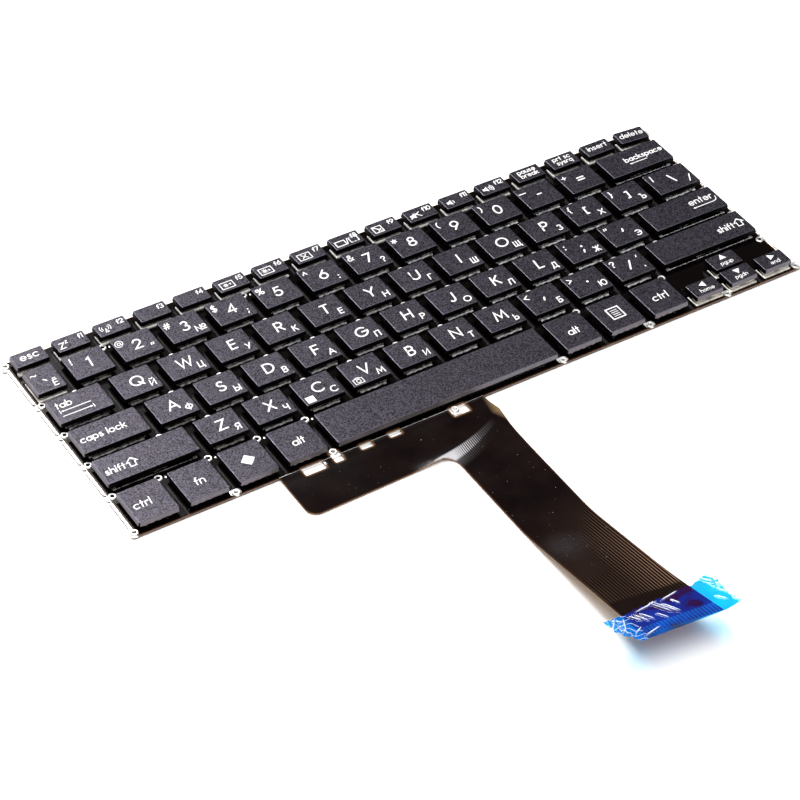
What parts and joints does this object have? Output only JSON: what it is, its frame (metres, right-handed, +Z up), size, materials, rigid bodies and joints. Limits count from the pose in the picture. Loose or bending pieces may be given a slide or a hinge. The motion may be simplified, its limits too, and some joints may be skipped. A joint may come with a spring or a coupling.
{
  "type": "laptop keyboard",
  "caption": "Flat replacement keyboard for a small laptop: dark low keys on scissor links over a metal plate, with a film tail that ends in contacts under blue tape.",
  "frame": {"origin": "middle of the plate's underside", "axes": "+X along the rows of keys to the right, +Y from the space bar to the function row, +Z up through the keytops"},
  "size_m": [0.2666, 0.2205, 0.0114],
  "materials": {
    "keycap": "fine grained, dark charcoal",
    "plate_metal": "bright stamped sheet",
    "film": "dark printed film with brown edges",
    "stiffener": "dark backing strip",
    "tape": "see-through blue film",
    "dome_rubber": "milky silicone",
    "link_plastic": "off-white moulding",
    "wire_steel": "drawn wire"
  },
  "bodies": {
    "board": {"base_plate": "plate_metal", "inner_scissor_links": "link_plastic", "membrane_film": "film", "outer_scissor_links": "link_plastic", "protective_tape": "tape", "rubber_domes": "dome_rubber", "stabiliser_wires": "wire_steel", "tail_stiffener": "stiffener", "upper_rows_keycaps": "keycap"},
    "cap_a": {"key_a": "keycap"},
    "cap_apostrophe": {"key_apostrophe": "keycap"},
    "cap_arrow_down": {"key_arrow_down": "keycap"},
    "cap_arrow_left": {"key_arrow_left": "keycap"},
    "cap_arrow_right": {"key_arrow_right": "keycap"},
    "cap_arrow_up": {"key_arrow_up": "keycap"},
    "cap_b": {"key_b": "keycap"},
    "cap_backslash": {"key_backslash": "keycap"},
    "cap_c": {"key_c": "keycap"},
    "cap_caps_lock": {"key_caps_lock": "keycap"},
    "cap_comma": {"key_comma": "keycap"},
    "cap_d": {"key_d": "keycap"},
    "cap_e": {"key_e": "keycap"},
    "cap_enter": {"key_enter": "keycap"},
    "cap_f": {"key_f": "keycap"},
    "cap_fn": {"key_fn": "keycap"},
    "cap_g": {"key_g": "keycap"},
    "cap_h": {"key_h": "keycap"},
    "cap_i": {"key_i": "keycap"},
    "cap_j": {"key_j": "keycap"},
    "cap_k": {"key_k": "keycap"},
    "cap_l": {"key_l": "keycap"},
    "cap_left_alt": {"key_left_alt": "keycap"},
    "cap_left_bracket": {"key_left_bracket": "keycap"},
    "cap_left_ctrl": {"key_left_ctrl": "keycap"},
    "cap_left_shift": {"key_left_shift": "keycap"},
    "cap_m": {"key_m": "keycap"},
    "cap_menu": {"key_menu": "keycap"},
    "cap_n": {"key_n": "keycap"},
    "cap_o": {"key_o": "keycap"},
    "cap_p": {"key_p": "keycap"},
    "cap_period": {"key_period": "keycap"},
    "cap_q": {"key_q": "keycap"},
    "cap_r": {"key_r": "keycap"},
    "cap_right_alt": {"key_right_alt": "keycap"},
    "cap_right_bracket": {"key_right_bracket": "keycap"},
    "cap_right_ctrl": {"key_right_ctrl": "keycap"},
    "cap_right_shift": {"key_right_shift": "keycap"},
    "cap_s": {"key_s": "keycap"},
    "cap_semicolon": {"key_semicolon": "keycap"},
    "cap_slash": {"key_slash": "keycap"},
    "cap_space": {"key_space": "keycap"},
    "cap_system": {"key_system": "keycap"},
    "cap_t": {"key_t": "keycap"},
    "cap_tab": {"key_tab": "keycap"},
    "cap_u": {"key_u": "keycap"},
    "cap_v": {"key_v": "keycap"},
    "cap_w": {"key_w": "keycap"},
    "cap_x": {"key_x": "keycap"},
    "cap_y": {"key_y": "keycap"},
    "cap_z": {"key_z": "keycap"}
  },
  "joints": [
    {"name": "press_a", "type": "slide", "parent": "board", "child": "cap_a", "axis": [0, 0, -1], "range_m": [0, 0.0014], "stiffness_N_per_m": 200, "deforming": ["rubber_domes", "outer_scissor_links", "inner_scissor_links"]},
    {"name": "press_apostrophe", "type": "slide", "parent": "board", "child": "cap_apostrophe", "axis": [0, 0, -1], "range_m": [0, 0.0014], "stiffness_N_per_m": 200, "deforming": ["rubber_domes", "outer_scissor_links", "inner_scissor_links"]},
    {"name": "press_arrow_down", "type": "slide", "parent": "board", "child": "cap_arrow_down", "axis": [0, 0, -1], "range_m": [0, 0.0014], "stiffness_N_per_m": 200, "deforming": ["rubber_domes", "outer_scissor_links", "inner_scissor_links"]},
    {"name": "press_arrow_left", "type": "slide", "parent": "board", "child": "cap_arrow_left", "axis": [0, 0, -1], "range_m": [0, 0.0014], "stiffness_N_per_m": 200, "deforming": ["rubber_domes", "outer_scissor_links", "inner_scissor_links"]},
    {"name": "press_arrow_right", "type": "slide", "parent": "board", "child": "cap_arrow_right", "axis": [0, 0, -1], "range_m": [0, 0.0014], "stiffness_N_per_m": 200, "deforming": ["rubber_domes", "outer_scissor_links", "inner_scissor_links"]},
    {"name": "press_arrow_up", "type": "slide", "parent": "board", "child": "cap_arrow_up", "axis": [0, 0, -1], "range_m": [0, 0.0014], "stiffness_N_per_m": 200, "deforming": ["rubber_domes", "outer_scissor_links", "inner_scissor_links"]},
    {"name": "press_b", "type": "slide", "parent": "board", "child": "cap_b", "axis": [0, 0, -1], "range_m": [0, 0.0014], "stiffness_N_per_m": 200, "deforming": ["rubber_domes", "outer_scissor_links", "inner_scissor_links"]},
    {"name": "press_backslash", "type": "slide", "parent": "board", "child": "cap_backslash", "axis": [0, 0, -1], "range_m": [0, 0.0014], "stiffness_N_per_m": 200, "deforming": ["rubber_domes", "outer_scissor_links", "inner_scissor_links"]},
    {"name": "press_c", "type": "slide", "parent": "board", "child": "cap_c", "axis": [0, 0, -1], "range_m": [0, 0.0014], "stiffness_N_per_m": 200, "deforming": ["rubber_domes", "outer_scissor_links", "inner_scissor_links"]},
    {"name": "press_caps_lock", "type": "slide", "parent": "board", "child": "cap_caps_lock", "axis": [0, 0, -1], "range_m": [0, 0.0014], "stiffness_N_per_m": 200, "deforming": ["rubber_domes", "outer_scissor_links", "inner_scissor_links"]},
    {"name": "press_comma", "type": "slide", "parent": "board", "child": "cap_comma", "axis": [0, 0, -1], "range_m": [0, 0.0014], "stiffness_N_per_m": 200, "deforming": ["rubber_domes", "outer_scissor_links", "inner_scissor_links"]},
    {"name": "press_d", "type": "slide", "parent": "board", "child": "cap_d", "axis": [0, 0, -1], "range_m": [0, 0.0014], "stiffness_N_per_m": 200, "deforming": ["rubber_domes", "outer_scissor_links", "inner_scissor_links"]},
    {"name": "press_e", "type": "slide", "parent": "board", "child": "cap_e", "axis": [0, 0, -1], "range_m": [0, 0.0014], "stiffness_N_per_m": 200, "deforming": ["rubber_domes", "outer_scissor_links", "inner_scissor_links"]},
    {"name": "press_enter", "type": "slide", "parent": "board", "child": "cap_enter", "axis": [0, 0, -1], "range_m": [0, 0.0014], "stiffness_N_per_m": 200, "deforming": ["rubber_domes", "outer_scissor_links", "inner_scissor_links", "stabiliser_wires"]},
    {"name": "press_f", "type": "slide", "parent": "board", "child": "cap_f", "axis": [0, 0, -1], "range_m": [0, 0.0014], "stiffness_N_per_m": 200, "deforming": ["rubber_domes", "outer_scissor_links", "inner_scissor_links"]},
    {"name": "press_fn", "type": "slide", "parent": "board", "child": "cap_fn", "axis": [0, 0, -1], "range_m": [0, 0.0014], "stiffness_N_per_m": 200, "deforming": ["rubber_domes", "outer_scissor_links", "inner_scissor_links"]},
    {"name": "press_g", "type": "slide", "parent": "board", "child": "cap_g", "axis": [0, 0, -1], "range_m": [0, 0.0014], "stiffness_N_per_m": 200, "deforming": ["rubber_domes", "outer_scissor_links", "inner_scissor_links"]},
    {"name": "press_h", "type": "slide", "parent": "board", "child": "cap_h", "axis": [0, 0, -1], "range_m": [0, 0.0014], "stiffness_N_per_m": 200, "deforming": ["rubber_domes", "outer_scissor_links", "inner_scissor_links"]},
    {"name": "press_i", "type": "slide", "parent": "board", "child": "cap_i", "axis": [0, 0, -1], "range_m": [0, 0.0014], "stiffness_N_per_m": 200, "deforming": ["rubber_domes", "outer_scissor_links", "inner_scissor_links"]},
    {"name": "press_j", "type": "slide", "parent": "board", "child": "cap_j", "axis": [0, 0, -1], "range_m": [0, 0.0014], "stiffness_N_per_m": 200, "deforming": ["rubber_domes", "outer_scissor_links", "inner_scissor_links"]},
    {"name": "press_k", "type": "slide", "parent": "board", "child": "cap_k", "axis": [0, 0, -1], "range_m": [0, 0.0014], "stiffness_N_per_m": 200, "deforming": ["rubber_domes", "outer_scissor_links", "inner_scissor_links"]},
    {"name": "press_l", "type": "slide", "parent": "board", "child": "cap_l", "axis": [0, 0, -1], "range_m": [0, 0.0014], "stiffness_N_per_m": 200, "deforming": ["rubber_domes", "outer_scissor_links", "inner_scissor_links"]},
    {"name": "press_left_alt", "type": "slide", "parent": "board", "child": "cap_left_alt", "axis": [0, 0, -1], "range_m": [0, 0.0014], "stiffness_N_per_m": 200, "deforming": ["rubber_domes", "outer_scissor_links", "inner_scissor_links"]},
    {"name": "press_left_bracket", "type": "slide", "parent": "board", "child": "cap_left_bracket", "axis": [0, 0, -1], "range_m": [0, 0.0014], "stiffness_N_per_m": 200, "deforming": ["rubber_domes", "outer_scissor_links", "inner_scissor_links"]},
    {"name": "press_left_ctrl", "type": "slide", "parent": "board", "child": "cap_left_ctrl", "axis": [0, 0, -1], "range_m": [0, 0.0014], "stiffness_N_per_m": 200, "deforming": ["rubber_domes", "outer_scissor_links", "inner_scissor_links"]},
    {"name": "press_left_shift", "type": "slide", "parent": "board", "child": "cap_left_shift", "axis": [0, 0, -1], "range_m": [0, 0.0014], "stiffness_N_per_m": 200, "deforming": ["rubber_domes", "outer_scissor_links", "inner_scissor_links", "stabiliser_wires"]},
    {"name": "press_m", "type": "slide", "parent": "board", "child": "cap_m", "axis": [0, 0, -1], "range_m": [0, 0.0014], "stiffness_N_per_m": 200, "deforming": ["rubber_domes", "outer_scissor_links", "inner_scissor_links"]},
    {"name": "press_menu", "type": "slide", "parent": "board", "child": "cap_menu", "axis": [0, 0, -1], "range_m": [0, 0.0014], "stiffness_N_per_m": 200, "deforming": ["rubber_domes", "outer_scissor_links", "inner_scissor_links"]},
    {"name": "press_n", "type": "slide", "parent": "board", "child": "cap_n", "axis": [0, 0, -1], "range_m": [0, 0.0014], "stiffness_N_per_m": 200, "deforming": ["rubber_domes", "outer_scissor_links", "inner_scissor_links"]},
    {"name": "press_o", "type": "slide", "parent": "board", "child": "cap_o", "axis": [0, 0, -1], "range_m": [0, 0.0014], "stiffness_N_per_m": 200, "deforming": ["rubber_domes", "outer_scissor_links", "inner_scissor_links"]},
    {"name": "press_p", "type": "slide", "parent": "board", "child": "cap_p", "axis": [0, 0, -1], "range_m": [0, 0.0014], "stiffness_N_per_m": 200, "deforming": ["rubber_domes", "outer_scissor_links", "inner_scissor_links"]},
    {"name": "press_period", "type": "slide", "parent": "board", "child": "cap_period", "axis": [0, 0, -1], "range_m": [0, 0.0014], "stiffness_N_per_m": 200, "deforming": ["rubber_domes", "outer_scissor_links", "inner_scissor_links"]},
    {"name": "press_q", "type": "slide", "parent": "board", "child": "cap_q", "axis": [0, 0, -1], "range_m": [0, 0.0014], "stiffness_N_per_m": 200, "deforming": ["rubber_domes", "outer_scissor_links", "inner_scissor_links"]},
    {"name": "press_r", "type": "slide", "parent": "board", "child": "cap_r", "axis": [0, 0, -1], "range_m": [0, 0.0014], "stiffness_N_per_m": 200, "deforming": ["rubber_domes", "outer_scissor_links", "inner_scissor_links"]},
    {"name": "press_right_alt", "type": "slide", "parent": "board", "child": "cap_right_alt", "axis": [0, 0, -1], "range_m": [0, 0.0014], "stiffness_N_per_m": 200, "deforming": ["rubber_domes", "outer_scissor_links", "inner_scissor_links"]},
    {"name": "press_right_bracket", "type": "slide", "parent": "board", "child": "cap_right_bracket", "axis": [0, 0, -1], "range_m": [0, 0.0014], "stiffness_N_per_m": 200, "deforming": ["rubber_domes", "outer_scissor_links", "inner_scissor_links"]},
    {"name": "press_right_ctrl", "type": "slide", "parent": "board", "child": "cap_right_ctrl", "axis": [0, 0, -1], "range_m": [0, 0.0014], "stiffness_N_per_m": 200, "deforming": ["rubber_domes", "outer_scissor_links", "inner_scissor_links"]},
    {"name": "press_right_shift", "type": "slide", "parent": "board", "child": "cap_right_shift", "axis": [0, 0, -1], "range_m": [0, 0.0014], "stiffness_N_per_m": 200, "deforming": ["rubber_domes", "outer_scissor_links", "inner_scissor_links", "stabiliser_wires"]},
    {"name": "press_s", "type": "slide", "parent": "board", "child": "cap_s", "axis": [0, 0, -1], "range_m": [0, 0.0014], "stiffness_N_per_m": 200, "deforming": ["rubber_domes", "outer_scissor_links", "inner_scissor_links"]},
    {"name": "press_semicolon", "type": "slide", "parent": "board", "child": "cap_semicolon", "axis": [0, 0, -1], "range_m": [0, 0.0014], "stiffness_N_per_m": 200, "deforming": ["rubber_domes", "outer_scissor_links", "inner_scissor_links"]},
    {"name": "press_slash", "type": "slide", "parent": "board", "child": "cap_slash", "axis": [0, 0, -1], "range_m": [0, 0.0014], "stiffness_N_per_m": 200, "deforming": ["rubber_domes", "outer_scissor_links", "inner_scissor_links"]},
    {"name": "press_space", "type": "slide", "parent": "board", "child": "cap_space", "axis": [0, 0, -1], "range_m": [0, 0.0014], "stiffness_N_per_m": 200, "deforming": ["rubber_domes", "outer_scissor_links", "inner_scissor_links", "stabiliser_wires"]},
    {"name": "press_system", "type": "slide", "parent": "board", "child": "cap_system", "axis": [0, 0, -1], "range_m": [0, 0.0014], "stiffness_N_per_m": 200, "deforming": ["rubber_domes", "outer_scissor_links", "inner_scissor_links"]},
    {"name": "press_t", "type": "slide", "parent": "board", "child": "cap_t", "axis": [0, 0, -1], "range_m": [0, 0.0014], "stiffness_N_per_m": 200, "deforming": ["rubber_domes", "outer_scissor_links", "inner_scissor_links"]},
    {"name": "press_tab", "type": "slide", "parent": "board", "child": "cap_tab", "axis": [0, 0, -1], "range_m": [0, 0.0014], "stiffness_N_per_m": 200, "deforming": ["rubber_domes", "outer_scissor_links", "inner_scissor_links"]},
    {"name": "press_u", "type": "slide", "parent": "board", "child": "cap_u", "axis": [0, 0, -1], "range_m": [0, 0.0014], "stiffness_N_per_m": 200, "deforming": ["rubber_domes", "outer_scissor_links", "inner_scissor_links"]},
    {"name": "press_v", "type": "slide", "parent": "board", "child": "cap_v", "axis": [0, 0, -1], "range_m": [0, 0.0014], "stiffness_N_per_m": 200, "deforming": ["rubber_domes", "outer_scissor_links", "inner_scissor_links"]},
    {"name": "press_w", "type": "slide", "parent": "board", "child": "cap_w", "axis": [0, 0, -1], "range_m": [0, 0.0014], "stiffness_N_per_m": 200, "deforming": ["rubber_domes", "outer_scissor_links", "inner_scissor_links"]},
    {"name": "press_x", "type": "slide", "parent": "board", "child": "cap_x", "axis": [0, 0, -1], "range_m": [0, 0.0014], "stiffness_N_per_m": 200, "deforming": ["rubber_domes", "outer_scissor_links", "inner_scissor_links"]},
    {"name": "press_y", "type": "slide", "parent": "board", "child": "cap_y", "axis": [0, 0, -1], "range_m": [0, 0.0014], "stiffness_N_per_m": 200, "deforming": ["rubber_domes", "outer_scissor_links", "inner_scissor_links"]},
    {"name": "press_z", "type": "slide", "parent": "board", "child": "cap_z", "axis": [0, 0, -1], "range_m": [0, 0.0014], "stiffness_N_per_m": 200, "deforming": ["rubber_domes", "outer_scissor_links", "inner_scissor_links"]}
  ]
}
